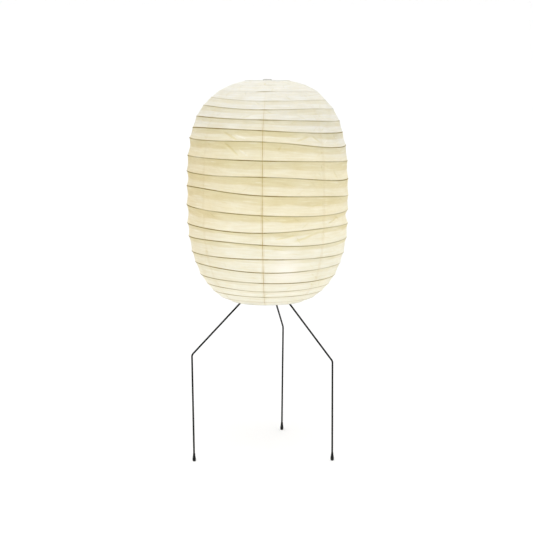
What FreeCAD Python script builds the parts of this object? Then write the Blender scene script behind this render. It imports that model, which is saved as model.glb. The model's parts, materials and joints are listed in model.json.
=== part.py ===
import FreeCAD, Part
import math
import os

V = FreeCAD.Vector

# Paper lantern floor lamp. Millimetres, +Z up, the floor at Z = 0, the shade's axis on X = Y = 0,
# front towards -Y, left leg towards -X.

# ---- driving dimensions -------------------------------------------------------------
PAPER_T = 0.3            # washi wall
RIB_D = 2.2              # split-bamboo hoops
RING_D = 3.0             # steel end rings of the shade
LEG_D = 6.0              # bent steel leg rod
LEG_BEND_R = 14.0        # centre-line radius of the knee
HUB_Z = 601.0            # height at which the three leg axes meet the lamp's axis
HUB_R = 18.5
HUB_BOTTOM, HUB_TOP = 579.0, 613.0
SOCKET_R = 5.5           # angled socket outside radius
SOCKET_END = 42.0        # from the meeting point, along the leg
LEG_START = 14.0         # where the rod's inner end sits, along the leg
SOCKET_CLEAR = 0.06      # running clearance of rod in socket
SCREW_AT = 33.0          # clamp screw position along the socket
NIPPLE_R = 5.0
STRETCHER_D = 3.0
STRETCHER_X = 44.0       # half width of the stretcher's long sides
STRETCHER_FOOT_X = 14.5  # where its two ends stand in the hub
FOOT_H = 27.0
FOOT_R = 5.8

# knee and foot points of each leg: (x, y, z)
LEGS = {
    "left": ((-245.8, -153.0, 356.6), (-240.9, -150.1, 0.0)),
    "right": ((212.9, -139.8, 332.8), (213.9, -140.5, 0.0)),
    "rear": ((56.3, 288.8, 370.4), (52.0, 267.5, 0.0)),
}

# shade stations, top ring first, bottom ring last:
# outside radius, mean height, forward rise, sideways rise (both at the rim)
STATIONS = [
    (73.8, 1241.6, 0.0, 0.0),
    (120.5, 1229.3, -0.3, -0.5),
    (160.0, 1209.7, -0.6, -1.1),
    (188.0, 1182.1, -0.6, -4.0),
    (214.0, 1154.7, 0.9, -4.7),
    (236.0, 1118.4, 3.0, -6.9),
    (247.5, 1081.3, 5.8, -7.5),
    (258.1, 1045.4, 1.5, -11.4),
    (264.5, 991.3, 2.0, -7.7),
    (267.2, 936.8, 2.2, -10.9),
    (267.8, 883.7, 3.2, -13.7),
    (268.0, 826.5, -2.3, -7.3),
    (267.1, 773.3, -0.3, 0.1),
    (263.1, 728.0, 2.3, -3.1),
    (253.5, 678.6, 4.1, -1.6),
    (242.0, 642.0, 0.7, -1.5),
    (226.0, 603.6, 0.1, -0.8),
    (204.5, 572.4, 2.5, -0.8),
    (184.0, 551.0, 1.0, -0.2),
    (158.0, 530.5, 0.5, -0.1),
    (124.0, 516.9, 0.0, 0.0),
]
SAG = 0.055              # the paper is drawn in between two ribs by this share of their spacing
EDGE = 0.35              # height left free at each rib between one paper band and the next

os.makedirs("parts", exist_ok=True)


def save(name, shape):
    if not shape.isValid():
        raise RuntimeError(name + " is not valid")
    for s in shape.Solids:
        if s.Volume <= 0:
            raise RuntimeError(name + " has a solid with no volume")
    shape.exportStep("parts/" + name + ".step")
    return shape


def unit(v):
    return V(v.x / v.Length, v.y / v.Length, v.z / v.Length)


def cyl(r, h, base=V(0, 0, 0), axis=V(0, 0, 1)):
    return Part.makeCylinder(r, h, base, axis)


def turned(profile, base=V(0, 0, 0), axis=V(0, 0, 1)):
    """Solid of revolution about Z from a closed list of (radius, height), then set on an axis."""
    pts = [V(r, 0, z) for r, z in profile]
    face = Part.Face(Part.makePolygon(pts + [pts[0]]))
    solid = face.revolve(V(0, 0, 0), V(0, 0, 1), 360)
    solid.Placement = FreeCAD.Placement(base, FreeCAD.Rotation(V(0, 0, 1), axis))
    return solid


def rod(points, bends, diameter):
    """Round rod along straight runs joined by arcs; bends gives each inner point its radius."""
    edges = []
    start = points[0]
    for i in range(1, len(points) - 1):
        p, a, b = points[i], unit(points[i - 1] - points[i]), unit(points[i + 1] - points[i])
        half = math.acos(max(-1, min(1, a.dot(b)))) / 2
        r = bends[i - 1]
        cut = r / math.tan(half)
        t0, t1 = p + a * cut, p + b * cut
        mid_dir = unit(a + b)
        centre = p + mid_dir * (r / math.sin(half))
        top = centre - mid_dir * r
        edges.append(Part.makeLine(start, t0))
        edges.append(Part.Arc(t0, top, t1).toShape())
        start = t1
    edges.append(Part.makeLine(start, points[-1]))
    path = Part.Wire(edges)
    first = unit(points[1] - points[0])
    ring = Part.Wire([Part.makeCircle(diameter / 2, points[0], first)])
    return path.makePipeShell([ring], True, False)


# ---- stand --------------------------------------------------------------------------
def leg_axis(name):
    knee = V(*LEGS[name][0])
    return unit(knee - V(0, 0, HUB_Z))


def screw_axis(name):
    """Square to the leg in its own upright plane, pointing up and out."""
    d = leg_axis(name)
    side = V(-d.y, d.x, 0)
    up = side.cross(d)
    if up.z < 0:
        up = up * -1
    return unit(up)


O = V(0, 0, HUB_Z)
hub = turned([(0, HUB_BOTTOM), (HUB_R - 3, HUB_BOTTOM), (HUB_R, HUB_BOTTOM + 3), (HUB_R, HUB_TOP - 2),
              (HUB_R - 2, HUB_TOP), (0, HUB_TOP)])
for n in LEGS:
    d = leg_axis(n)
    hub = hub.fuse(cyl(SOCKET_R, SOCKET_END - 8, O + d * 8, d))
    hub = hub.fuse(cyl(4.6, SOCKET_R + 2.2, O + d * SCREW_AT, screw_axis(n)))
for n in LEGS:
    d = leg_axis(n)
    hub = hub.cut(cyl(LEG_D / 2 + SOCKET_CLEAR, SOCKET_END, O + d * LEG_START, d))
    hub = hub.cut(cyl(2.06, 20, O + d * SCREW_AT, screw_axis(n)))
hub = hub.cut(cyl(NIPPLE_R + 0.05, 80, V(0, 0, HUB_BOTTOM - 20)))
for sx in (-1, 1):
    hub = hub.cut(cyl(STRETCHER_D / 2 + 0.03, 12, V(sx * STRETCHER_FOOT_X, 0, HUB_TOP - 12)))
hub = hub.removeSplitter()
save("leg_hub", hub)

# hollow threaded nipple that runs in the hub's tapped bore and carries the lampholder
nip = cyl(NIPPLE_R, 50, V(0, 0, 574))
grooves = None
for i in range(5):
    g = Part.makeTorus(NIPPLE_R + 0.15, 0.4, V(0, 0, 575.3 + i * 1.0))
    grooves = g if grooves is None else grooves.fuse(g)
nip = nip.cut(grooves).cut(cyl(3.6, 60, V(0, 0, 570)))
save("center_nipple", nip)

# soft bush in the nipple's lower mouth, where a supply lead would enter
bush = turned([(2.4, 568.5), (4.2, 568.5), (5.6, 570.0), (5.6, 573.95), (3.55, 573.95), (3.55, 584.0), (2.4, 584.0)])
save("cord_bush", bush)

# ---- stretcher and top ring ---------------------------------------------------------
ring_top = STATIONS[0]
ring_c = (ring_top[0] - PAPER_T - RING_D / 2 - 0.1, ring_top[1])
bar_z = ring_c[1] - RING_D / 2 - STRETCHER_D / 2 - 0.02
hump_z = ring_c[1] + RING_D / 2 + 4.2 - STRETCHER_D / 2
corner = ring_c[0] + 2.2
half = [
    V(STRETCHER_FOOT_X, 0, 602.5), V(STRETCHER_FOOT_X, 0, 617.0), V(STRETCHER_X, 0, 627.0), V(STRETCHER_X, 0, 1192.0),
    V(corner, 0, bar_z), V(17.5, 0, bar_z), V(12.0, 0, hump_z),
]
pts = half + [V(-p.x, 0, p.z) for p in reversed(half)]
bends = [5, 10, 14, 3.2, 4, 4.5]
save("stretcher_frame", rod(pts, bends + list(reversed(bends)), STRETCHER_D))
save("top_ring", Part.makeTorus(ring_c[0], RING_D / 2, V(0, 0, ring_c[1])))

# ---- legs, feet and clamp screws ----------------------------------------------------
for n, (knee, foot) in LEGS.items():
    knee, foot = V(*knee), V(*foot)
    d, s = leg_axis(n), screw_axis(n)
    up = unit(knee - foot)
    end = foot + up * 5.0
    save("leg_" + n, rod([O + d * (LEG_START + 0.5), knee, end], [LEG_BEND_R], LEG_D))
    cap = turned([(0, -1.5), (3.7, -1.5), (4.9, 1.2), (5.5, 4.0), (FOOT_R, 6.5), (5.6, 9.5), (5.1, 13.0), (4.5, 17.0),
                  (4.0, 21.0), (3.7, 25.0), (3.5, FOOT_H), (LEG_D / 2 + 0.02, FOOT_H), (LEG_D / 2 + 0.02, 4.9), (0, 4.9)],
                 foot, up)
    cap = cap.cut(Part.makeBox(60, 60, 20, V(foot.x - 30, foot.y - 30, -20)))
    save("foot_" + n, cap)
    # thumb screw with a twelve-sided head, its tip just clear of the rod
    screw = cyl(2.0, 9.0, O + d * SCREW_AT + s * (LEG_D / 2 + 0.1), s)
    side = unit(d.cross(s))
    base = O + d * SCREW_AT + s * (SOCKET_R + 3.2)
    ring = []
    for i in range(12):
        a = math.radians(30 * i)
        ring.append(base + d * (5.1 * math.cos(a)) + side * (5.1 * math.sin(a)))
    head = Part.Face(Part.makePolygon(ring + [ring[0]])).extrude(s * 7.0)
    save("clamp_screw_" + n, screw.fuse(head))

# ---- lampholder ---------------------------------------------------------------------
LH = HUB_TOP
cap = turned([(NIPPLE_R + 0.05, LH + 0.02), (11.0, LH + 0.02), (12.4, LH + 1.5), (12.4, LH + 4), (20.0, LH + 11), (20.0, LH + 20),
              (18.4, LH + 20), (18.4, LH + 11.8), (11.0, LH + 5.0), (NIPPLE_R + 0.05, LH + 5.0)])
save("lampholder_cap", cap)
shell = [(20.0, LH + 20.1), (20.6, LH + 20.1), (20.6, LH + 24)]
for i in range(6):
    z = LH + 24 + i * 3.0
    shell += [(20.6, z), (20.0, z + 0.8), (20.0, z + 1.8), (20.6, z + 2.6)]
shell += [(20.6, LH + 52), (19.4, LH + 54), (16.2, LH + 54), (16.2, LH + 52.6), (18.6, LH + 52.6), (18.6, LH + 20.1)]
save("lampholder_shell", turned(shell))
core = turned([(0, LH + 12.5), (15.5, LH + 12.5), (18.0, LH + 15.0), (18.0, LH + 24.0), (15.2, LH + 24.0), (15.2, LH + 50.0), (14.4, LH + 50.0),
               (14.4, LH + 21.0), (0, LH + 21.0)])
core = core.cut(cyl(1.6, 20, V(7.5, 0, LH + 8))).cut(cyl(1.6, 20, V(-7.5, 0, LH + 8))).cut(cyl(2.6, 20, V(0, 0, LH + 8)))
save("lampholder_core", core)


def screw_shell(r_out, r_in, crest, z0, z1, pitch, wall):
    """Rolled round thread drawn as rings: an outside and an inside contour in step."""
    out, inn = [], []
    n = int((z1 - z0) / (pitch / 2))
    for i in range(n + 1):
        z = z0 + i * pitch / 2
        r = crest if i % 2 else crest - (r_out - r_in)
        out.append((r, z))
        inn.append((r - wall, z))
    return turned(out + list(reversed(inn)))


save("lampholder_thread", screw_shell(14.2, 13.1, 14.2, LH + 24.0, LH + 46.0, 3.6, 0.35))
contact = Part.makeBox(6.0, 3.0, 0.5, V(-3.0, -1.5, LH + 21.05))
contact = contact.fuse(cyl(2.4, 2.85, V(0, 0, LH + 21.05)))
post = cyl(1.5, 12.0, V(7.5, 0, LH + 9.0)).fuse(cyl(1.5, 12.0, V(-7.5, 0, LH + 9.0)))
save("lampholder_contacts", Part.makeCompound(contact.Solids + post.Solids))

# ---- bulb ---------------------------------------------------------------------------
BZ = LH + 24.3
cap_r = 13.1 - 0.35 - 0.45
out, inn = [], []
for i in range(13):
    z = BZ + 1.5 + i * 1.8
    r = cap_r if i % 2 else cap_r - 1.0
    out.append((r, z))
    inn.append((r - 0.4, z))
last = out[-1]
out += [(cap_r + 0.2, last[1] + 1.8), (cap_r + 0.2, last[1] + 4.0)]
inn += [(cap_r - 0.2, last[1] + 1.8), (cap_r - 0.2, last[1] + 4.0)]
save("bulb_cap", turned(out + list(reversed(inn))))
save("bulb_contact", turned([(0, BZ - 0.1), (3.2, BZ - 0.1), (4.4, BZ + 0.6), (9.0, BZ + 1.45), (10.5, BZ + 1.49), (10.5, BZ + 1.2), (5.0, BZ + 0.2), (4.2, BZ - 0.1),
                             (3.6, BZ - 0.3), (0, BZ - 0.3)]))
NECK = last[1] + 4.0
GZ = NECK + 47.0
prof = [(11.6, NECK + 0.05), (12.8, NECK + 0.05), (14.2, NECK + 6), (17.5, NECK + 16), (22.5, NECK + 26)]
for a in range(-24, 90, 9):
    prof.append((30.0 * math.cos(math.radians(a)), GZ + 30.0 * math.sin(math.radians(a))))
prof.append((0, GZ + 30.0))
inner = [(0, GZ + 29.2)]
for a in range(84, -25, -9):
    inner.append((29.2 * math.cos(math.radians(a)), GZ + 29.2 * math.sin(math.radians(a))))
inner += [(21.7, NECK + 26.2), (16.7, NECK + 16.2), (13.4, NECK + 6.2), (11.6, NECK + 1.0)]
save("bulb_glass", turned(prof + inner))

# ---- shade --------------------------------------------------------------------------
def tilt(station):
    r, z, c, s = station
    return unit(V(-s / r, c / r, 1.0))


def blend(a, b, t):
    """Station between two stations; t runs 0 to 1 downwards."""
    return tuple(a[i] + (b[i] - a[i]) * t for i in range(4))


def hoop(station, radius):
    return Part.Wire([Part.makeCircle(radius, V(0, 0, station[1]), tilt(station))])


def end_slopes(a, b):
    """Directions of the paper's wall, in (radius, height), at the upper and lower rib of a band."""
    dr, dz = b[0] - a[0], b[1] - a[1]
    length = math.hypot(dr, dz)
    turn = math.atan(4 * SAG)
    ang = math.atan2(dz, dr)
    return (ang - turn, ang + turn)


def rib_centre(k, half_d):
    """Centre of a hoop's section, tucked under the paper's two walls."""
    up = end_slopes(STATIONS[k - 1], STATIONS[k])[1]
    down = end_slopes(STATIONS[k], STATIONS[k + 1])[0]
    turn = (down - up) / 2
    mid = (up + down) / 2
    off = (PAPER_T + half_d + 0.1) / math.cos(turn)
    return STATIONS[k][0] + off * math.sin(mid), STATIONS[k][1] - off * math.cos(mid)


def paper_band(a, b):
    gap = a[1] - b[1]
    cut = EDGE / gap
    rows = []
    dr, dz = b[0] - a[0], b[1] - a[1]
    length = math.hypot(dr, dz)
    nr, nz = dz / length, -dr / length          # inwards, square to the wall
    for t in (cut, 0.5, 1 - cut):
        s = blend(a, b, t)
        sag = 4 * t * (1 - t) * SAG * length
        rows.append((s[0] + nr * sag, s[1] + nz * sag, s[2], s[3]))
    outer = [hoop(s, s[0]) for s in rows]
    inner_rows = [(s[0] + nr * PAPER_T, s[1] + nz * PAPER_T, s[2], s[3]) for s in rows]
    inner = [hoop(s, s[0]) for s in inner_rows]
    fo = Part.makeLoft(outer, False, False).Faces
    fi = Part.makeLoft(inner, False, False).Faces
    top = Part.makeLoft([outer[0], inner[0]], False, True).Faces
    low = Part.makeLoft([outer[-1], inner[-1]], False, True).Faces
    shell = Part.Shell(fo + fi + top + low)
    shell.sewShape()
    solid = Part.makeSolid(shell)
    if solid.Volume < 0:
        solid.reverse()
    return solid


last_k = len(STATIONS) - 1
for k in range(1, last_k):
    r, z = rib_centre(k, RIB_D / 2)
    save("rib_%02d" % k, Part.makeTorus(r, RIB_D / 2, V(0, 0, z), tilt(STATIONS[k])))
# the two narrow bands at each end of the shade are one piece of paper each
bands = [paper_band(STATIONS[k], STATIONS[k + 1]) for k in range(last_k)]
save("paper_01", Part.makeCompound(bands[:2]))
for k in range(2, last_k - 2):
    save("paper_%02d" % k, bands[k])
save("paper_%02d" % (last_k - 2), Part.makeCompound(bands[-2:]))
low = STATIONS[last_k]
save("bottom_ring", Part.makeTorus(low[0] - PAPER_T - RING_D / 2 - 0.1, RING_D / 2, V(0, 0, low[1])))
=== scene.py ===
import bpy, bmesh, math, json
import numpy as np
from mathutils import Vector, Matrix, Euler


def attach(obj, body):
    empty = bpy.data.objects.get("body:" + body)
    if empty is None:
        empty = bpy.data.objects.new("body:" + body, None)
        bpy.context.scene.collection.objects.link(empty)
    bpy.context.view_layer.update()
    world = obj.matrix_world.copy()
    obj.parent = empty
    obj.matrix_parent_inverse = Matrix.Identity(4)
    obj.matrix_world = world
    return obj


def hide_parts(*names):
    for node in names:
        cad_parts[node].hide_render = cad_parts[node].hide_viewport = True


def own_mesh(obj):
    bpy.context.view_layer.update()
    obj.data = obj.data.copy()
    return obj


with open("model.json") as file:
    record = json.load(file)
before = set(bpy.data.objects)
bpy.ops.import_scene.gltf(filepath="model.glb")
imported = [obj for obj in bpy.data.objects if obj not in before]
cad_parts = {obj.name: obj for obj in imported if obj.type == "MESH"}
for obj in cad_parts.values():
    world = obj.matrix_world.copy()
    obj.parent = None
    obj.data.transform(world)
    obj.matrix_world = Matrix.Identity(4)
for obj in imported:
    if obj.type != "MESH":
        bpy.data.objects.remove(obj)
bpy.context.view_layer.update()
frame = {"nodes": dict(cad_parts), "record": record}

rng = np.random.default_rng(41)
nodes_of = frame["nodes"]

# ------------------------------------------------------------------ stations of the shade
# radius at the hoop, mean height, then the hoop's slow rise and fall round the shade as
# cos 1, sin 1, cos 2, sin 2, ... of the azimuth, which starts at the front and runs towards +X. Millimetres.
STATIONS = [
    (73.8, 1241.6, 0.0, 0.0, 0.0, 0.0, 0.0, 0.0, 0.0, 0.0),
    (120.5, 1229.3, -0.3, -0.5, -0.1, 0.0, 0.0, 0.2, 0.0, 0.1),
    (160.0, 1209.7, -0.6, -1.1, -0.2, 0.1, 0.0, 0.4, -0.1, 0.3),
    (188.0, 1182.1, -0.6, -4.0, -2.0, 0.3, -0.9, 0.7, 0.1, 0.1),
    (214.0, 1154.7, 0.9, -4.7, -1.9, 0.4, -1.4, 1.0, 0.0, 0.4),
    (236.0, 1118.4, 3.0, -6.9, -0.2, -0.8, -0.7, 0.7, 0.5, 0.3),
    (247.5, 1081.3, 5.8, -7.5, 0.2, -2.5, -1.0, -0.2, 0.9, 0.1),
    (258.1, 1045.4, 1.5, -11.4, 2.3, -2.8, 1.9, 0.4, 1.6, 0.4),
    (264.5, 991.3, 2.0, -7.7, 0.9, -0.7, -0.1, 0.9, -0.1, 0.4),
    (267.2, 936.8, 2.2, -10.9, 2.0, -1.3, 1.2, 1.2, 1.0, 0.7),
    (267.8, 883.7, 3.2, -13.7, -0.1, -2.6, -1.5, 1.1, -1.0, 0.9),
    (268.0, 826.5, -2.3, -7.3, -2.4, -2.4, -0.4, -0.1, 0.6, 0.2),
    (267.1, 773.3, -0.3, 0.1, -2.6, 1.0, -1.8, 0.8, -0.6, 0.5),
    (263.1, 728.0, 2.3, -3.1, -1.5, -2.9, -1.2, -1.3, 0.5, -0.6),
    (253.5, 678.6, 4.1, -1.6, -0.5, -0.5, -1.1, 0.0, 0.7, 0.1),
    (242.0, 642.0, 0.7, -1.5, -3.0, -1.0, -2.1, -0.2, -0.3, 0.1),
    (226.0, 603.6, 0.1, -0.8, -1.7, -1.0, -0.8, -0.5, 0.4, -0.2),
    (204.5, 572.4, 2.5, -0.8, -1.7, -0.4, -1.8, -0.1, -0.2, 0.0),
    (184.0, 551.0, 1.0, -0.2, -0.5, 0.0, -0.7, 0.0, -0.2, 0.0),
    (158.0, 530.5, 0.5, -0.1, -0.2, 0.0, -0.3, 0.0, -0.1, 0.0),
    (124.0, 516.9, 0.0, 0.0, 0.0, 0.0, 0.0, 0.0, 0.0, 0.0),
]
# how far each hoop hangs to the right of the axis, millimetres
SIDE = [0.0, 4.0, 4.0, 3.5, 3.0, 2.0, 1.0, 1.0, 0.5, 0.5, 0.5, 0.0, 0.5, 1.0, 1.5, 1.5, 1.5, 1.5, 1.2, 0.6, 0.0]
LAST = len(STATIONS) - 1
SEAM0 = math.radians(-3.6)
SEAMS = [SEAM0 + i * math.pi / 4 + d for i, d in enumerate(np.radians([0, 1.3, -1.0, 0.8, -0.6, 1.1, -0.9, -2.1]))]


def wrap(a):
    return (a + math.pi) % (2 * math.pi) - math.pi


SEAMS = sorted(wrap(a) for a in SEAMS)


def hoop_z(k, th):
    s = STATIONS[k]
    z = np.full_like(th, s[1])
    for n in range(1, 5):
        z = z + s[2 * n] * np.cos(n * th) + s[2 * n + 1] * np.sin(n * th)
    return z


def smooth_noise(th, seed, harmonics=9, start=1, fall=0.6):
    """Smooth periodic noise round the shade, about -1 to 1."""
    r = np.random.default_rng(seed)
    out = np.zeros_like(th)
    norm = 0
    for n in range(start, start + harmonics):
        a = 1.0 / (n ** fall)
        out += a * np.cos(n * th + r.uniform(0, 2 * math.pi))
        norm += a * a / 2
    return out / math.sqrt(norm) * 0.6


def facets(th, seed, step):
    """Straight runs between uneven points round the shade, about -1 to 1; step is their mean spacing in degrees."""
    r = np.random.default_rng(seed)
    w = r.uniform(0.45, 1.55, int(round(360 / step)))
    x = np.cumsum(w / w.sum() * 2 * math.pi) - math.pi
    y = r.normal(0, 0.5, len(x))
    y = np.clip(y, -1.1, 1.1)
    xs = np.concatenate([x - 2 * math.pi, x, x + 2 * math.pi])
    return np.interp(th, xs, np.tile(y, 3)), x, y


# ------------------------------------------------------------------ node helpers
def new_mat(name):
    m = bpy.data.materials.new(name)
    m.use_nodes = True
    nt = m.node_tree
    nt.nodes.clear()
    out = nt.nodes.new("ShaderNodeOutputMaterial")
    return m, nt, out


def nd(nt, kind, **inputs):
    n = nt.nodes.new(kind)
    for k, v in inputs.items():
        if k.startswith("_"):
            setattr(n, k[1:], v)
        else:
            n.inputs[k.replace("_", " ")].default_value = v
    return n


def math_node(nt, op, a, b=None, c=None, clamp=False):
    n = nt.nodes.new("ShaderNodeMath")
    n.operation = op
    n.use_clamp = clamp
    for i, v in enumerate((a, b, c)):
        if v is None:
            continue
        if isinstance(v, (int, float)):
            n.inputs[i].default_value = v
        else:
            nt.links.new(v, n.inputs[i])
    return n.outputs[0]


def mix_col(nt, fac, a, b, blend="MIX"):
    n = nt.nodes.new("ShaderNodeMix")
    n.data_type = "RGBA"
    n.blend_type = blend
    for sock, v in ((n.inputs[0], fac), (n.inputs[6], a), (n.inputs[7], b)):
        if isinstance(v, (int, float)):
            sock.default_value = v
        elif isinstance(v, tuple):
            sock.default_value = v if len(v) == 4 else (*v, 1.0)
        else:
            nt.links.new(v, sock)
    return n.outputs[2]


def map_range(nt, value, a, b, c=0.0, d=1.0, smooth=True):
    n = nt.nodes.new("ShaderNodeMapRange")
    n.interpolation_type = "SMOOTHSTEP" if smooth else "LINEAR"
    n.clamp = True
    nt.links.new(value, n.inputs[0])
    for i, v in zip((1, 2, 3, 4), (a, b, c, d)):
        if isinstance(v, (int, float)):
            n.inputs[i].default_value = v
        else:
            nt.links.new(v, n.inputs[i])
    return n.outputs[0]


def attr(nt, name):
    n = nt.nodes.new("ShaderNodeAttribute")
    n.attribute_name = name
    return n.outputs["Fac"]


def noise_tex(nt, vec, scale, detail=3.0, rough=0.55, dist=0.0):
    n = nt.nodes.new("ShaderNodeTexNoise")
    n.inputs["Scale"].default_value = scale
    n.inputs["Detail"].default_value = detail
    n.inputs["Roughness"].default_value = rough
    n.inputs["Distortion"].default_value = dist
    nt.links.new(vec, n.inputs["Vector"])
    return n.outputs["Fac"]


def mapping(nt, vec, scale=(1, 1, 1), rot=(0, 0, 0), loc=(0, 0, 0)):
    n = nt.nodes.new("ShaderNodeMapping")
    n.inputs["Scale"].default_value = scale
    n.inputs["Rotation"].default_value = rot
    n.inputs["Location"].default_value = loc
    nt.links.new(vec, n.inputs["Vector"])
    return n.outputs[0]


def obj_coord(nt):
    return nt.nodes.new("ShaderNodeTexCoord").outputs["Object"]


def bump(nt, height, strength, distance, normal=None):
    n = nt.nodes.new("ShaderNodeBump")
    n.inputs["Strength"].default_value = strength
    n.inputs["Distance"].default_value = distance
    nt.links.new(height, n.inputs["Height"])
    if normal is not None:
        nt.links.new(normal, n.inputs["Normal"])
    return n.outputs[0]


# ------------------------------------------------------------------ materials
def washi():
    m, nt, out = new_mat("washi")
    L = nt.links
    uv = nt.nodes.new("ShaderNodeUVMap")
    uv.uv_map = "sheet"
    v = uv.outputs[0]                                    # metres round and down the sheet
    # pulp clouds, large and small
    cloud = noise_tex(nt, v, 14.0, 3.0, 0.6)
    mott = noise_tex(nt, v, 95.0, 4.0, 0.62)
    # long kozo fibres in three directions
    fib = None
    for k, (rot, sx, sy, seed) in enumerate(((0.25, 22, 640, 3.1), (-0.55, 30, 760, 7.7), (1.1, 26, 700, 11.3), (2.4, 34, 900, 5.9))):
        mv = mapping(nt, v, (sx, sy, 1), (0, 0, rot), (seed, seed * 1.7, 0))
        wob = noise_tex(nt, mv, 1.0, 1.5, 0.5, 0.35)
        line = map_range(nt, wob, 0.66, 0.80)
        fib = line if fib is None else math_node(nt, "MAXIMUM", fib, line)
    grain = noise_tex(nt, v, 900.0, 2.0, 0.6)
    # distances kept on the mesh, in millimetres
    rib_d = attr(nt, "rib_d")
    seam_d = attr(nt, "seam_d")
    seam_s = attr(nt, "seam_s")
    seam_f = attr(nt, "seam_f")
    rib_s = attr(nt, "rib_s")
    tone = attr(nt, "tone")
    fold = attr(nt, "fold")
    # paper colour, with painted light: paler near the top and on the right, a painted glow of the bulb low down, and
    # painted fill light on the downward-facing underside
    crown = attr(nt, "crown")
    foot = attr(nt, "foot")
    base = mix_col(nt, crown, (0.842, 0.810, 0.648), (0.780, 0.794, 0.788))
    base = mix_col(nt, foot, base, (0.848, 0.868, 0.800))
    base = mix_col(nt, attr(nt, "under"), base, (0.915, 0.935, 0.875))
    base = mix_col(nt, map_range(nt, cloud, 0.30, 0.70), base, mix_col(nt, 1.0, base, (0.965, 0.950, 0.900), "MULTIPLY"))
    base = mix_col(nt, math_node(nt, "MULTIPLY", map_range(nt, mott, 0.35, 0.72), 0.25), base, (0.88, 0.85, 0.73))
    # painted shade on the downward-facing slope above each band's fold
    base = mix_col(nt, tone, base, mix_col(nt, 1.0, base, (0.872, 0.824, 0.618), "MULTIPLY"))
    # painted shade on the side away from the light
    base = mix_col(nt, attr(nt, "dusk"), base, mix_col(nt, 1.0, base, (0.910, 0.865, 0.790), "MULTIPLY"))
    base = mix_col(nt, math_node(nt, "MULTIPLY", fib, 0.30), base, (0.93, 0.91, 0.82))
    base = mix_col(nt, math_node(nt, "MULTIPLY", map_range(nt, grain, 0.62, 0.75), 0.10), base, (0.52, 0.42, 0.24))
    # long streaks of the pulp along the sheet
    streak = noise_tex(nt, mapping(nt, v, (13.0, 165.0, 1.0)), 1.0, 4.0, 0.6, 0.4)
    base = mix_col(nt, map_range(nt, streak, 0.40, 0.66), base, mix_col(nt, 1.0, base, (0.955, 0.935, 0.880), "MULTIPLY"))
    base = mix_col(nt, math_node(nt, "MULTIPLY", map_range(nt, streak, 0.44, 0.28), 0.35), base, (0.94, 0.93, 0.87))
    # painted glow of the bulb on the paper low on the shade
    base = mix_col(nt, math_node(nt, "MULTIPLY", attr(nt, "thin"), 0.75), base, (0.97, 0.965, 0.93))
    # creases: painted shade makes the hollow side a little tan, and a painted highlight makes the raised side a little
    # paler
    crs = attr(nt, "crease")
    base = mix_col(nt, map_range(nt, crs, 0.20, 1.50), base, mix_col(nt, 1.0, base, (0.930, 0.900, 0.740), "MULTIPLY"))
    base = mix_col(nt, math_node(nt, "MULTIPLY", map_range(nt, crs, -0.20, -1.10), 0.5), base, (0.93, 0.92, 0.86))
    # painted shade along the fold line between the two slopes of a band
    base = mix_col(nt, math_node(nt, "MULTIPLY", fold, 0.22), base, (0.62, 0.52, 0.30))
    # narrow brown line where the bamboo shows through, and a wider painted shade around it where the hoop shades the
    # paper
    wobble = noise_tex(nt, v, 38.0, 2.0, 0.5)
    width = math_node(nt, "ADD", math_node(nt, "MULTIPLY", wobble, 1.0), 0.80)
    line = math_node(nt, "SUBTRACT", 1.0, map_range(nt, math_node(nt, "DIVIDE", rib_d, width), 0.55, 1.42))
    rib_shade = math_node(nt, "SUBTRACT", 1.0, map_range(nt, rib_d, 0.5, 4.6))
    base = mix_col(nt, math_node(nt, "MULTIPLY", math_node(nt, "MULTIPLY", rib_shade, rib_s), 0.36), base, (0.62, 0.51, 0.17))
    base = mix_col(nt, math_node(nt, "MULTIPLY", math_node(nt, "MULTIPLY", line, rib_s), 0.94), base, (0.200, 0.145, 0.014))
    # pasted lap of two gores: a slightly denser strip with a glue line at each edge
    ad = math_node(nt, "ABSOLUTE", seam_d)
    lap = math_node(nt, "SUBTRACT", 1.0, map_range(nt, ad, 4.6, 5.6))
    edge = math_node(nt, "SUBTRACT", 1.0, map_range(nt, math_node(nt, "ABSOLUTE", math_node(nt, "SUBTRACT", ad, 5.0)), 0.3, 1.3))
    mid = math_node(nt, "SUBTRACT", 1.0, map_range(nt, ad, 0.35, 1.85))
    brk = map_range(nt, noise_tex(nt, v, 22.0, 3.0, 0.6), 0.30, 0.62)
    base = mix_col(nt, math_node(nt, "MULTIPLY", math_node(nt, "MULTIPLY", lap, seam_f), 0.16), base, (0.70, 0.62, 0.40))
    base = mix_col(nt, math_node(nt, "MULTIPLY", math_node(nt, "MULTIPLY", math_node(nt, "MULTIPLY", edge, brk), seam_f), 0.34), base, (0.55, 0.44, 0.22))
    gore = math_node(nt, "MULTIPLY", math_node(nt, "MULTIPLY", mid, math_node(nt, "ADD", math_node(nt, "MULTIPLY", brk, 0.5), 0.5)), seam_s)
    base = mix_col(nt, gore, base, (0.430, 0.300, 0.040))
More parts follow.
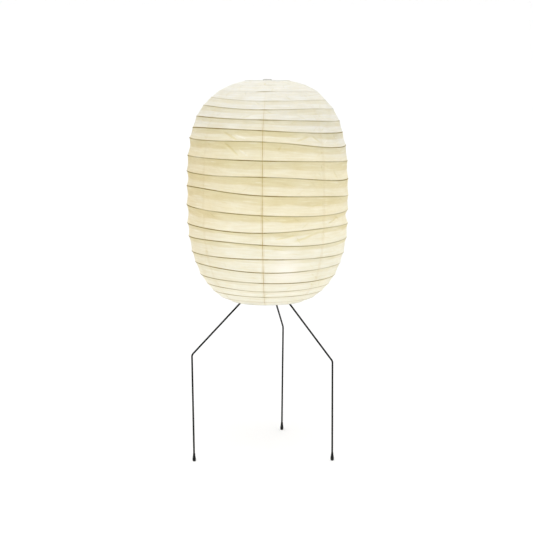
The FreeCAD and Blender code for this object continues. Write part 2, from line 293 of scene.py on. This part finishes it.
    # relief
    h = math_node(nt, "ADD", math_node(nt, "MULTIPLY", mott, 0.5), math_node(nt, "MULTIPLY", fib, 0.5))
    h = math_node(nt, "ADD", h, math_node(nt, "MULTIPLY", grain, 0.25))
    h = math_node(nt, "ADD", h, math_node(nt, "MULTIPLY", lap, 0.6))
    nrm = bump(nt, h, 0.35, 0.0006)
    p = nd(nt, "ShaderNodeBsdfPrincipled")
    p.inputs["Roughness"].default_value = 0.82
    p.inputs["Specular IOR Level"].default_value = 0.18
    p.inputs["Sheen Weight"].default_value = 0.05
    p.inputs["Sheen Roughness"].default_value = 0.5
    L.new(base, p.inputs["Base Color"])
    L.new(nrm, p.inputs["Normal"])
    t = nd(nt, "ShaderNodeBsdfTranslucent")
    hide = math_node(nt, "MAXIMUM", math_node(nt, "MULTIPLY", line, rib_s), gore)
    tc = mix_col(nt, math_node(nt, "SUBTRACT", 0.45, math_node(nt, "MULTIPLY", hide, 0.45), clamp=True), base, (0.95, 0.93, 0.86))
    L.new(tc, t.inputs["Color"])
    L.new(nrm, t.inputs["Normal"])
    mx = nd(nt, "ShaderNodeMixShader")
    mx.inputs[0].default_value = 0.30
    L.new(p.outputs[0], mx.inputs[1])
    L.new(t.outputs[0], mx.inputs[2])
    L.new(mx.outputs[0], out.inputs[0])
    return m


def simple(name, base, rough, metallic=0.0, spec=0.5, var=0.12, scale=60.0, bump_s=0.15, bump_d=0.0002, fine=600.0, coat=0.0, tint=None):
    """Painted, moulded or bare metal surface: colour drifts, roughness varies, fine relief."""
    m, nt, out = new_mat(name)
    v = obj_coord(nt)
    a = noise_tex(nt, v, scale, 4.0, 0.6)
    b = noise_tex(nt, v, fine, 3.0, 0.6)
    dark = tuple(c * (1 - var) for c in base)
    light = tint or tuple(min(1.0, c * (1 + var) + 0.004) for c in base)
    col = mix_col(nt, map_range(nt, a, 0.3, 0.7), dark, light)
    col = mix_col(nt, math_node(nt, "MULTIPLY", map_range(nt, b, 0.55, 0.8), 0.35), col, tuple(min(1.0, c * 1.5 + 0.01) for c in base))
    p = nd(nt, "ShaderNodeBsdfPrincipled")
    nt.links.new(col, p.inputs["Base Color"])
    p.inputs["Metallic"].default_value = metallic
    p.inputs["Specular IOR Level"].default_value = spec
    p.inputs["Coat Weight"].default_value = coat
    r = map_range(nt, a, 0.25, 0.75, max(0.03, rough - 0.09), min(1.0, rough + 0.09))
    nt.links.new(r, p.inputs["Roughness"])
    nt.links.new(bump(nt, math_node(nt, "ADD", b, a), bump_s, bump_d), p.inputs["Normal"])
    nt.links.new(p.outputs[0], out.inputs[0])
    return m


def bamboo():
    m, nt, out = new_mat("bamboo")
    uv = nt.nodes.new("ShaderNodeUVMap")
    uv.uv_map = "sheet"
    v = uv.outputs[0]
    st = noise_tex(nt, mapping(nt, v, (6, 900, 1)), 1.0, 3.0, 0.6)
    blot = noise_tex(nt, v, 16.0, 3.0, 0.6)
    col = mix_col(nt, map_range(nt, st, 0.3, 0.7), (0.300, 0.205, 0.090), (0.470, 0.350, 0.170))
    col = mix_col(nt, math_node(nt, "MULTIPLY", map_range(nt, blot, 0.45, 0.75), 0.5), col, (0.20, 0.125, 0.05))
    p = nd(nt, "ShaderNodeBsdfPrincipled")
    nt.links.new(col, p.inputs["Base Color"])
    nt.links.new(map_range(nt, st, 0.3, 0.7, 0.42, 0.62), p.inputs["Roughness"])
    nt.links.new(bump(nt, st, 0.4, 0.0003), p.inputs["Normal"])
    nt.links.new(p.outputs[0], out.inputs[0])
    return m


def brushed(name, base, rough, axis=(1, 1, 40), metallic=1.0):
    m, nt, out = new_mat(name)
    v = obj_coord(nt)
    s = noise_tex(nt, mapping(nt, v, axis), 60.0, 4.0, 0.65)
    b = noise_tex(nt, v, 35.0, 3.0, 0.6)
    col = mix_col(nt, map_range(nt, s, 0.3, 0.7), tuple(c * 0.86 for c in base), base)
    col = mix_col(nt, math_node(nt, "MULTIPLY", map_range(nt, b, 0.5, 0.8), 0.35), col, tuple(c * 0.62 for c in base))
    p = nd(nt, "ShaderNodeBsdfPrincipled")
    nt.links.new(col, p.inputs["Base Color"])
    p.inputs["Metallic"].default_value = metallic
    nt.links.new(map_range(nt, s, 0.3, 0.7, rough - 0.08, rough + 0.10), p.inputs["Roughness"])
    nt.links.new(bump(nt, s, 0.2, 0.0001), p.inputs["Normal"])
    nt.links.new(p.outputs[0], out.inputs[0])
    return m


def opal_glass():
    """Frosted bulb, lit: the glow is even, a little weaker at the neck."""
    m, nt, out = new_mat("opal_glass")
    v = obj_coord(nt)
    sep = nt.nodes.new("ShaderNodeSeparateXYZ")
    nt.links.new(v, sep.inputs[0])
    up = map_range(nt, sep.outputs[2], 0.668, 0.700)
    frost = noise_tex(nt, v, 700.0, 3.0, 0.6)
    col = mix_col(nt, map_range(nt, frost, 0.3, 0.7), (0.86, 0.84, 0.79), (0.93, 0.92, 0.89))
    p = nd(nt, "ShaderNodeBsdfPrincipled")
    nt.links.new(col, p.inputs["Base Color"])
    nt.links.new(map_range(nt, frost, 0.3, 0.7, 0.28, 0.42), p.inputs["Roughness"])
    glow = mix_col(nt, up, (1.0, 0.62, 0.30), (1.0, 0.83, 0.60))
    nt.links.new(glow, p.inputs["Emission Color"])
    nt.links.new(map_range(nt, sep.outputs[2], 0.664, 0.705, BULB_GLOW * 0.12, BULB_GLOW), p.inputs["Emission Strength"])
    nt.links.new(bump(nt, frost, 0.1, 0.0001), p.inputs["Normal"])
    nt.links.new(p.outputs[0], out.inputs[0])
    return m


BULB_GLOW = 26.0
M = {
    "washi_paper": washi(),
    "bamboo": bamboo(),
    "pale_wire": simple("pale_wire", (0.52, 0.52, 0.50), 0.34, metallic=0.35, var=0.10, scale=90.0, fine=900.0),
    "black_steel": simple("black_steel", (0.0050, 0.0050, 0.0054), 0.50, spec=0.15, var=0.3, scale=45.0, fine=1400.0, bump_s=0.25, bump_d=0.0001),
    "black_rubber": simple("black_rubber", (0.0060, 0.0060, 0.0064), 0.62, spec=0.18, var=0.25, scale=120.0, fine=1800.0, bump_s=0.3, bump_d=0.0002),
    "black_plastic": simple("black_plastic", (0.02, 0.02, 0.021), 0.42, spec=0.45, var=0.2, scale=80.0, fine=1500.0, bump_s=0.25, bump_d=0.0001),
    "zinc": brushed("zinc", (0.62, 0.62, 0.60), 0.34),
    "ceramic": simple("ceramic", (0.78, 0.76, 0.71), 0.3, spec=0.5, var=0.05, scale=70.0, fine=500.0, coat=0.3),
    "brass": brushed("brass", (0.78, 0.56, 0.24), 0.30),
    "cap_metal": brushed("cap_metal", (0.74, 0.74, 0.73), 0.30),
    "opal_glass": opal_glass(),
}


# ------------------------------------------------------------------ mesh helpers
def mesh_grid(name, P, uv, attrs, mat, closed=True):
    """P: rows x cols x 3 in metres. Rows run down, columns run round; the last column joins the first."""
    rows, cols = P.shape[:2]
    nv = rows * cols
    me = bpy.data.meshes.new(name)
    idx = np.arange(nv).reshape(rows, cols)
    nxt = np.roll(idx, -1, axis=1)
    a, b, c, d = idx[:-1], nxt[:-1], nxt[1:], idx[1:]
    quads = np.stack([a, d, c, b], -1).reshape(-1, 4)
    if not closed:
        quads = np.stack([a[:, :-1], d[:, :-1], c[:, :-1], b[:, :-1]], -1).reshape(-1, 4)
    me.vertices.add(nv)
    me.vertices.foreach_set("co", P.reshape(-1).astype(np.float32))
    nf = len(quads)
    me.loops.add(nf * 4)
    me.loops.foreach_set("vertex_index", quads.reshape(-1).astype(np.int32))
    me.polygons.add(nf)
    me.polygons.foreach_set("loop_start", np.arange(0, nf * 4, 4, dtype=np.int32))
    me.polygons.foreach_set("use_smooth", np.ones(nf, dtype=bool))
    me.update(calc_edges=True)
    U = uv[0].reshape(-1)[quads].copy()
    Vv = uv[1].reshape(-1)[quads]
    if closed:  # the last column wraps to the start
        span = uv[2]
        colq = (quads % cols)
        over = (colq == 0) & (colq.max(axis=1)[:, None] == cols - 1)
        U[over] += (np.broadcast_to(span, (rows,))[(quads // cols)])[over]
    layer = me.uv_layers.new(name="sheet")
    layer.data.foreach_set("uv", np.stack([U, Vv], -1).reshape(-1).astype(np.float32))
    for key, val in attrs.items():
        at = me.attributes.new(key, "FLOAT", "POINT")
        at.data.foreach_set("value", val.reshape(-1).astype(np.float32))
    me.validate()
    ob = bpy.data.objects.new(name, me)
    bpy.context.collection.objects.link(ob)
    me.materials.append(mat)
    return ob


# columns round the shade: even steps, with extra ones beside each seam
def columns():
    n = 600
    th = list(np.linspace(-math.pi, math.pi, n, endpoint=False))
    for s in SEAMS:
        for d in (-9, -6, -5, -3, -1.2, 0, 1.2, 3, 5, 6, 9):
            th.append(wrap(s + d / 250.0))
    th = np.array(sorted(th))
    keep = np.ones(len(th), bool)
    for i in range(1, len(th)):
        if th[i] - th[i - 1] < 0.0015:
            keep[i] = False
    return th[keep]


TH = columns()
SEAM_ARR = np.array(SEAMS)
_d = (TH[:, None] - SEAM_ARR[None, :] + math.pi) % (2 * math.pi) - math.pi
_near = np.abs(_d).argmin(axis=1)
SEAM_ANG = _d[np.arange(len(TH)), _near]         # angle to the nearest seam
MAIN_SEAM = int(np.abs(SEAM_ARR - wrap(SEAM0)).argmin())
SEAM_STRONG = np.where(_near == MAIN_SEAM, 0.85, 0.16)
# the seam opposite the front one is as strong, the side ones in between
_opp = int(np.abs((SEAM_ARR - wrap(SEAM0 + math.pi) + math.pi) % (2 * math.pi) - math.pi).argmin())
SEAM_STRONG = np.where(_near == _opp, 0.6, SEAM_STRONG)


def creases(th, t, length, gap, seed, count, placed=()):
    """Sum of short soft creases; th along the columns, t down the band. Returns inward depth in mm."""
    r = np.random.default_rng(seed)
    out = np.zeros((len(t), len(th)))
    todo = []
    for _ in range(count):
        todo.append((r.uniform(-math.pi, math.pi), r.uniform(0.12, 0.9), r.normal(0.0, 0.55), r.uniform(12, 46), r.uniform(1.6, 4.2), r.uniform(-0.55, 0.75)))
    todo += list(placed)
    R = length
    for th0, t0, ang, ln, w, amp in todo:
        dx = ((th - th0 + math.pi) % (2 * math.pi) - math.pi) * R
        sel = np.abs(dx) < ln * 1.6 + 10
        if not sel.any():
            continue
        X = dx[sel][None, :]
        Y = ((t - t0) * gap)[:, None]
        ca, sa = math.cos(ang), math.sin(ang)
        along = X * ca + Y * sa
        across = -X * sa + Y * ca
        out[:, sel] += amp * np.exp(-(across / w) ** 2) * np.exp(-(along / (ln * 0.55)) ** 4)
    return out


# ------------------------------------------------------------------ shade
def place(x_th, t, ang, ln, w, amp):
    return (math.radians(x_th), t, ang, ln, w, amp)


PLACED = {
    # band, counted from the top: creases that stand out, as azimuth in degrees, share of the band's height, slant, length, width, depth
    6: [place(-28, 0.55, 0.42, 60, 3.2, 1.6), place(-20, 0.62, 0.30, 40, 3.0, -1.2), place(26, 0.5, -0.33, 46, 3.2, 1.4), place(38, 0.45, 0.45, 34, 3.0, 1.4), place(47, 0.6, -0.4, 24, 2.6, -1.0)],
    7: [place(-27, 0.38, 0.62, 62, 3.4, 1.8), place(-17, 0.60, 0.55, 34, 3.0, -1.2), place(12, 0.32, 0.04, 60, 3.0, 0.8), place(40, 0.5, -0.5, 30, 3.0, 1.0)],
    8: [place(-40, 0.5, 0.2, 30, 3.0, 0.9), place(20, 0.45, -0.05, 50, 3.4, 0.7)],
    9: [place(15, 0.4, 0.12, 50, 3.6, 0.9), place(-22, 0.42, -0.05, 60, 3.4, 0.8)],
    10: [place(38, 0.45, -0.12, 46, 3.2, 1.3), place(30, 0.5, 0.05, 36, 3.4, 0.9), place(-33, 0.5, 0.15, 40, 3.0, 0.9)],
    11: [place(52, 0.55, -0.35, 44, 3.4, 2.2), place(58, 0.35, 0.4, 30, 3.2, 1.6), place(48, 0.7, 0.25, 30, 3.0, -1.2)],
    12: [place(12, 0.42, -0.16, 60, 3.0, 1.8), place(25, 0.55, -0.22, 54, 3.4, 1.5), place(33, 0.35, -0.15, 40, 3.0, 1.2), place(-8, 0.45, 0.05, 40, 3.0, 0.6)],
    13: [place(8, 0.3, 0.05, 40, 2.6, 1.1), place(2, 0.45, -0.1, 36, 2.6, 0.9), place(-45, 0.45, 0.9, 20, 2.6, 1.0)],
    14: [place(10, 0.42, 0.12, 46, 2.8, 1.4), place(18, 0.55, -0.1, 34, 2.8, 1.0), place(-12, 0.6, 0.02, 34, 2.6, 0.6)],
}


# places where the paper is pushed in: azimuth and half width in degrees, millimetres
DENT = {11: (84, 20, 6.5), 7: (-60, 18, 1.5)}


def band_rows(gap_mm, length_mm):
    near = [0.0, 0.45, 0.9, 1.5, 2.4, 3.8, 6.0]
    n = max(6, int(length_mm / 3.2))
    mids = np.linspace(8.5, length_mm - 8.5, n) if length_mm > 22 else np.array([length_mm / 2])
    ts = [d / length_mm for d in near] + [d / length_mm for d in mids] + [1 - d / length_mm for d in reversed(near)]
    ts = np.array(sorted(set(np.round(ts, 5))))
    return ts


def make_band(j):
    a, b = STATIONS[j], STATIONS[j + 1]
    za, zb = hoop_z(j, TH), hoop_z(j + 1, TH)
    dr, dz = b[0] - a[0], b[1] - a[1]
    length = math.hypot(dr, dz)
    nr, nz = dz / length, -dr / length                    # inwards, square to the wall
    gap = za - zb
    local = np.sqrt(dr * dr + gap * gap)                   # wall length at each column
    t = band_rows(-dz, length)
    T = t[:, None]
    Rm = (a[0] + b[0]) / 2
    # the ridge over each hoop, and the hollow between, with a soft crease at about two fifths
    su, sl = T * local[None, :], (1 - T) * local[None, :]
    s = np.minimum(su, sl)
    ridge = 0.6 * (1 - np.exp(-(s / 1.9) ** 2))
    run, corner_th, corner_y = facets(TH, 100 + j, 15)
    tc = FOLD_AT[j] + (0.055 * run + 0.02 * smooth_noise(TH, 100 + j, 7))[None, :]
    vee = np.where(T < tc, T / tc, (1 - T) / (1 - tc))
    vee = vee - 0.10 * np.exp(-((T - tc) / 0.09) ** 2)
    para = 4 * T * (1 - T)
    amt = 1.0 + 0.28 * smooth_noise(TH, 200 + j, 8)[None, :]
    deep = SAG[j] * (0.42 * para + 0.58 * vee) * local[None, :] * amt
    # the paper is a little flatter near a pasted seam
    stiff = 1 - 0.35 * np.exp(-(SEAM_ANG * Rm / 14.0) ** 2)[None, :]
    deep = deep * stiff
    if j in DENT:
        mid, half, mm = DENT[j]
        deep = deep + mm * vee * np.exp(-(((TH - math.radians(mid)) / math.radians(half)) ** 2))[None, :]
    # creases that run from the corners of the fold to the hoop over or under it
    rc = np.random.default_rng(930 + j)
    joined = list(PLACED.get(j, ()))
    for c_th, c_y in zip(corner_th, corner_y):
        if rc.uniform() < 0.75 and length > 24:
            above = rc.uniform() < 0.5
            t_c = FOLD_AT[j] + 0.055 * c_y
            slope = rc.choice([-1, 1]) * rc.uniform(0.25, 1.05)
            span_t = t_c if above else 1 - t_c
            ln = min(46.0, span_t * -dz / max(0.25, abs(math.sin(slope))))
            t_m = t_c / 2 if above else (1 + t_c) / 2
            joined.append((c_th + (ln / 2) * math.cos(slope) * rc.choice([-1, 1]) / Rm, t_m, slope, ln * 0.75, rc.uniform(1.4, 2.6), rc.uniform(0.35, 1.25)))
    # the paper puckers a little beside each pasted seam
    for sm in SEAMS:
        for _ in range(4 if length > 30 else 2):
            joined.append((sm + rc.normal(0, 9.0) / Rm, rc.uniform(0.15, 0.85), rc.choice([-1, 1]) * rc.uniform(0.35, 1.35), rc.uniform(9, 22), rc.uniform(1.5, 2.4), rc.uniform(-0.5, 1.0) * (0.35 if sm == SEAMS[MAIN_SEAM] else 1.0)))
    cr = creases(TH, t, Rm, -dz, 900 + j, 26 if length > 40 else 14, joined)
    if j in (14, 15):
        cr = cr * (1 - 0.85 * np.exp(-((TH - math.radians(13)) * Rm / 48.0) ** 2))[None, :]
    fade = (1 - np.exp(-(s / 5.0) ** 2))
    depth = ridge + deep + cr * fade * 1.15
    # fine slackness
    rr = np.random.default_rng(500 + j)
    for _ in range(5):
        n, ph, q = rr.integers(9, 40), rr.uniform(0, 6.28), rr.uniform(0, 3.14)
        depth = depth + 0.16 * np.sin(n * TH[None, :] + ph + 2.5 * T) * np.sin(math.pi * T + 0 * q) * fade
    R = a[0] + dr * T + nr * depth
    Z = za[None, :] * (1 - T) + zb[None, :] * T + nz * depth
    X, Y = R * np.sin(TH)[None, :] + SIDE[j] * (1 - T) + SIDE[j + 1] * T, -R * np.cos(TH)[None, :]
    if j == 0 or j == LAST - 1:
        # the sheet is turned over the wire of the end ring
        up = j == 0
        e = 0 if up else -1
        cx, cz = (a[0] - 1.9, a[1]) if up else (b[0] - 1.9, b[1])
        for q in range(1, 7):
            w = math.radians(26 * q)
            rr2 = cx + 2.0 * math.cos(w) * np.ones_like(TH)
            zz2 = cz + (2.0 if up else -2.0) * math.sin(w) + 0.12 * smooth_noise(TH, 77 + q, 20, start=4)
            row = (rr2 * np.sin(TH), -rr2 * np.cos(TH), zz2)
            if up:
                X, Y, Z = (np.concatenate([n_[None, :], o_], 0) for n_, o_ in zip(row, (X, Y, Z)))
            else:
                X, Y, Z = (np.concatenate([o_, n_[None, :]], 0) for n_, o_ in zip(row, (X, Y, Z)))
        pad = np.full((6, 1), T[e, 0])
        T = np.concatenate([pad, T], 0) if up else np.concatenate([T, pad], 0)
        t = T[:, 0]
        grow = lambda m_: np.concatenate([np.repeat(m_[:1], 6, 0), m_], 0) if up else np.concatenate([m_, np.repeat(m_[-1:], 6, 0)], 0)
        s, su, sl, cr, fade = grow(s), grow(su), grow(sl), grow(cr), grow(fade)
    P = np.stack([X, Y, Z], -1) / 1000.0
    u = (TH[None, :] * Rm / 1000.0) * np.ones_like(T)
    v = np.broadcast_to(-(WALL[j] + length * T) / 1000.0, u.shape)
    span = np.full(len(t), 2 * math.pi * Rm / 1000.0)
    # how strongly the hoop line is drawn, where the hoop shows through and shades the paper: weaker near the mouths and
    # on some stretches
    k_up, k_low = j, j + 1
    up_s, low_s = hoop_show(k_up), hoop_show(k_low)
    near_up = (su <= sl)
    rib_s = np.where(near_up, up_s[None, :], low_s[None, :])
    tone = tan_tone(j, T, tc, su)
    # painted light near the top and right, painted bulb glow low down, painted fill light underneath
    crown, foot, under = crown_foot(Z)
    # painted shade along the fold between the two slopes
    fold = np.exp(-((T - tc) * local[None, :] / 1.3) ** 2) * (0.35 + 0.5 * np.clip(smooth_noise(TH, 300 + j, 9) + 0.4, 0, 1))[None, :]
    seam_d = (SEAM_ANG * Rm)[None, :] * np.ones_like(T)
    seam_s = (SEAM_STRONG * seam_fade(j))[None, :] * np.ones_like(T)
    seam_f = (np.where(SEAM_STRONG > 0.5, 1.0, 0.8) * seam_fade(j))[None, :] * np.ones_like(T)
    # painted glow of the bulb: the paper is paler low on the shade, a little right of the front, nearest the bulb
    thin = np.exp(-(((TH[None, :] - math.radians(13)) * Rm / 52.0) ** 2 + ((Z - 642) / 42.0) ** 2))
    # painted shade: the side away from the light is a little duller
    dusk = np.clip((-np.sin(TH)[None, :] - 0.42) / 0.5, 0, 1) * DUSK[j] * np.ones_like(T)
    ob = mesh_grid("washi_%02d" % (j + 1), P, (u, v, span), {
        "rib_d": s, "rib_s": rib_s, "tone": tone, "crown": crown, "foot": foot, "under": under, "crease": cr * fade, "fold": fold, "seam_d": seam_d, "seam_s": seam_s, "seam_f": seam_f, "thin": thin, "dusk": dusk}, M["washi_paper"])
    return ob


SAG = [-0.015, -0.012, -0.008, 0.0, 0.02, 0.045, 0.065, 0.08, 0.075, 0.075, 0.075, 0.105, 0.09, 0.065, 0.048, 0.035, 0.018, 0.004, -0.015, -0.04]
WALL = np.concatenate([[0], np.cumsum([math.hypot(STATIONS[i + 1][0] - STATIONS[i][0], STATIONS[i + 1][1] - STATIONS[i][1]) for i in range(LAST)])])
SHOW = [0.0, 0.25, 0.55, 0.75, 0.80, 0.85, 0.85, 0.9, 0.9, 0.9, 0.9, 0.92, 0.94, 1.02, 1.02, 1.0, 0.92, 0.88, 0.78, 0.5, 0.1]
# stretches on which the upper hoops show: middle and half width in degrees, and what is left beside them
SHOW_AT = {1: (3, 8, 0.1), 2: (-3, 10, 0.1), 3: (-5, 13, 0.4), 4: (-22, 44, 0.35)}


def hoop_show(k):
    n = smooth_noise(TH, 700 + k, 10, fall=0.5)
    out = SHOW[k] * (0.86 + 0.42 * n) * (1 - 0.24 * np.sin(TH))
    out = out * (1 + 0.6 * np.exp(-((TH - SEAMS[MAIN_SEAM]) * STATIONS[k][0] / 12.0) ** 2))
    if k in SHOW_AT:
        mid, half, rest = SHOW_AT[k]
        d = np.abs((TH - math.radians(mid) + math.pi) % (2 * math.pi) - math.pi)
        win = 1 / (1 + np.exp((d - math.radians(half)) / math.radians(half * 0.12)))
        out = out * (rest + (1 - rest) * win)
    return np.clip(out, 0.0, 1.0)


def seam_fade(j):
    return [0.0, 0.0, 0.1, 0.2, 0.45, 0.6, 0.7, 0.85, 1, 1, 1, 1, 1, 1, 1, 0.85, 0.75, 0.65, 0.55, 0.4][j]


# per band, top to bottom: where the fold lies, and how strong the painted shade on the slope over it is
FOLD_AT = [0.45, 0.45, 0.45, 0.40, 0.42, 0.40, 0.42, 0.45, 0.48, 0.49, 0.44, 0.40, 0.30, 0.28, 0.26, 0.26, 0.28, 0.30, 0.32, 0.35]
SLOPE_SHADE = [0.0, 0.0, 0.10, 0.32, 0.46, 0.55, 0.68, 0.70, 0.68, 0.70, 0.68, 0.70, 0.74, 0.60, 0.42, 0.28, 0.22, 0.16, 0.12, 0.05]
# per band, how strong the painted shade on the side away from the light is
DUSK = [0.0, 0.0, 0.1, 0.2, 0.3, 0.4, 0.6, 0.8, 1.0, 1.0, 1.0, 1.0, 1.0, 1.0, 0.9, 0.6, 0.4, 0.2, 0.0, 0.0]


def tan_tone(j, T, tc, su):
    """Painted shade on the slope above the fold, with a crisp but uneven edge, and on a fainter fold lower down; its
    strength drifts at random round the band.
    """
    r = np.random.default_rng(820 + j)
    edge = tc + (0.030 * facets(TH, 840 + j, 7)[0] + 0.006 * smooth_noise(TH, 845 + j, 60, start=30, fall=0.1))[None, :]
    soft = 0.042
    up = 1 / (1 + np.exp((T - edge) / soft * 2.2))
    # painted shade of one more, fainter fold lower down on some stretches
    low = tc + 0.28 + 0.05 * smooth_noise(TH, 860 + j, 12)[None, :]
    some = np.clip(smooth_noise(TH, 870 + j, 9) * 1.4, 0, 1)[None, :]
    streak = np.exp(-((T - low) / 0.05) ** 2) * some * 0.35
    drift = 1 + 0.22 * smooth_noise(TH, 400 + j, 12, fall=0.4)[None, :]
    return np.clip(SLOPE_SHADE[j] * (up * drift + streak) + 0.05 * drift * (SLOPE_SHADE[j] > 0.2), 0, 1)


def crown_foot(Z):
    """Shares of the painted light near the top and on the right, of the painted glow of the bulb low down, and of the
    painted fill light on the underside.
    """
    side = np.sin(TH)[None, :]
    crown = np.clip((Z - 1030 + 100 * np.clip(side, 0, 1) ** 1.6 + 25 * np.clip(-side, 0, 1) ** 2) / 130.0, 0, 1)
    foot = np.clip((865 - Z) / 185.0, 0, 1)
    under = np.clip((632 - Z) / 75.0, 0, 1)
    return crown * crown * (3 - 2 * crown), foot * foot * (3 - 2 * foot), under * under * (3 - 2 * under)


# the sheet of paper each band stands for; the narrow bands at both ends come two to a sheet
PAPER_OF = {j: "paper_%02d" % j for j in range(1, LAST - 2)}
PAPER_OF[LAST - 1] = "paper_%02d" % (LAST - 2)
for j in range(LAST):
    ob = make_band(j)
    k = j + 1
    body, joint = "shade_%02d" % k, ("shade_fold" if k == LAST else "shade_fold_%02d" % k)
    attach(ob, body)
    if j in PAPER_OF:
        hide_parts(PAPER_OF[j])
    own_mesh(ob)


def make_hoop(k):
    """Split bamboo hoop: a slightly flattened strip, its ends lapped for a short run."""
    n = 320
    th = np.linspace(-math.pi, math.pi, n, endpoint=False)
    s = STATIONS[k]
    up, low = STATIONS[k - 1], STATIONS[k + 1]
    ang = (math.atan2(s[1] - up[1], s[0] - up[0]) + math.atan2(low[1] - s[1], low[0] - s[0])) / 2
    off = 0.3 + 1.15
    Rc = s[0] + off * math.sin(ang)
    zc = hoop_z(k, th) - off * math.cos(ang)
    m = 10
    ph = np.linspace(0, 2 * math.pi, m, endpoint=False)
    r1 = np.random.default_rng(60 + k)
    lap_at = LAPS.get(k, r1.uniform(-math.pi, math.pi))
    dl = (th - lap_at + math.pi) % (2 * math.pi) - math.pi
    lap = np.clip((0.085 - np.abs(dl)) / 0.012, 0, 1)
    w = 1.05 * (1 + 0.05 * smooth_noise(th, 30 + k, 24, fall=0.1)) + 0.28 * lap
    P = np.zeros((m, n, 3))
    for i, p in enumerate(ph):
        rr = Rc + np.cos(p) * 0.95 * w
        P[i, :, 0] = rr * np.sin(th) + SIDE[k]
        P[i, :, 1] = -rr * np.cos(th)
        P[i, :, 2] = zc + np.sin(p) * 1.05 * w
    P /= 1000.0
    P = np.concatenate([P, P[:1]], 0)[::-1]
    u = np.broadcast_to(th * Rc / 1000.0, (m + 1, n))
    v = np.broadcast_to((np.linspace(0, 1, m + 1) * 0.0066)[:, None], (m + 1, n))
    ob = mesh_grid("bamboo_%02d" % k, P, (u, v, np.full(m + 1, 2 * math.pi * Rc / 1000.0)), {}, M["bamboo"])
    bm = bmesh.new()
    bm.from_mesh(ob.data)
    bmesh.ops.remove_doubles(bm, verts=bm.verts, dist=1e-6)
    bmesh.ops.recalc_face_normals(bm, faces=bm.faces)
    bm.to_mesh(ob.data)
    bm.free()
    return ob


LAPS = {9: math.radians(13), 15: math.radians(7), 12: math.radians(30)}
for k in range(1, LAST):
    ob = make_hoop(k)
    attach(ob, "shade_%02d" % k)
    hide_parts("rib_%02d" % k)
    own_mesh(ob)

# ------------------------------------------------------------------ finishes of the CAD pieces
slots = {s["node"]: s["material_slot"] for s in frame["record"]["subparts"]}
for name, ob in nodes_of.items():
    mat = M[slots[name]]
    if not ob.material_slots:
        ob.data.materials.append(mat)
    for sl in ob.material_slots:
        sl.material = mat

# ------------------------------------------------------------------ stage
def make_stage():
    R, H, r = 6.5, 4.2, 2.2
    prof = [(0.0, 0.0), (2.0, 0.0), (R - r, 0.0)]
    for i in range(1, 13):
        a = math.pi / 2 * i / 12
        prof.append((R - r + r * math.sin(a), r - r * math.cos(a)))
    prof.append((R, H))
    seg = 96
    bm = bmesh.new()
    rings = []
    for rr, z in prof:
        if rr == 0:
            rings.append([bm.verts.new((0, 0, z))])
        else:
            rings.append([bm.verts.new((rr * math.cos(2 * math.pi * i / seg), rr * math.sin(2 * math.pi * i / seg), z)) for i in range(seg)])
    for i in range(seg):
        bm.faces.new((rings[0][0], rings[1][i], rings[1][(i + 1) % seg]))
        for q in range(1, len(rings) - 1):
            bm.faces.new((rings[q][i], rings[q + 1][i], rings[q + 1][(i + 1) % seg], rings[q][(i + 1) % seg]))
    me = bpy.data.meshes.new("studio_floor")
    bm.to_mesh(me)
    bm.free()
    for p in me.polygons:
        p.use_smooth = True
    ob = bpy.data.objects.new("studio_floor", me)
    bpy.context.collection.objects.link(ob)
    m, nt, out = new_mat("studio_white")
    p = nd(nt, "ShaderNodeBsdfPrincipled")
    v = obj_coord(nt)
    col = mix_col(nt, noise_tex(nt, v, 0.8, 2.0, 0.5), (0.79, 0.79, 0.79), (0.81, 0.81, 0.81))
    nt.links.new(col, p.inputs["Base Color"])
    p.inputs["Roughness"].default_value = 0.9
    p.inputs["Specular IOR Level"].default_value = 0.1
    p.inputs["Emission Color"].default_value = (1, 1, 1, 1)
    p.inputs["Emission Strength"].default_value = STAGE_GLOW
    nt.links.new(p.outputs[0], out.inputs[0])
    me.materials.append(m)


STAGE_GLOW = 0.12
make_stage()

world = bpy.data.worlds.new("studio")
bpy.context.scene.world = world
world.use_nodes = True
bg = world.node_tree.nodes["Background"]
bg.inputs[0].default_value = (1.0, 1.0, 1.0, 1.0)
bg.inputs[1].default_value = 1.2


def area(name, loc, look, size, power, color=(1, 1, 1)):
    d = bpy.data.lights.new(name, "AREA")
    d.shape = "RECTANGLE"
    d.size, d.size_y = size
    d.energy = power
    d.color = color
    o = bpy.data.objects.new(name, d)
    bpy.context.collection.objects.link(o)
    o.location = loc
    o.rotation_euler = (Vector(look) - Vector(loc)).to_track_quat("-Z", "Y").to_euler()
    return o


area("top_soft", (0.1, -1.2, 4.4), (0, 0, 0.9), (2.6, 2.2), 26.0)

# ------------------------------------------------------------------ camera
cam = bpy.data.cameras.new("camera")
cam.sensor_fit = "HORIZONTAL"
cam.sensor_width = 36.0
cam.lens = 1419.96 / 533.0 * 36.0
cam.clip_end = 60
cam.dof.use_dof = False
co = bpy.data.objects.new("camera", cam)
bpy.context.collection.objects.link(co)
co.location = (-0.0029, -4.7, 1.26228)
co.rotation_euler = (math.pi / 2 - 0.13446, 0, 0)
bpy.context.scene.camera = co

view = bpy.context.scene.view_settings
view.view_transform = "Standard"
view.look = "None"
view.exposure = 0.0
view.gamma = 1.0
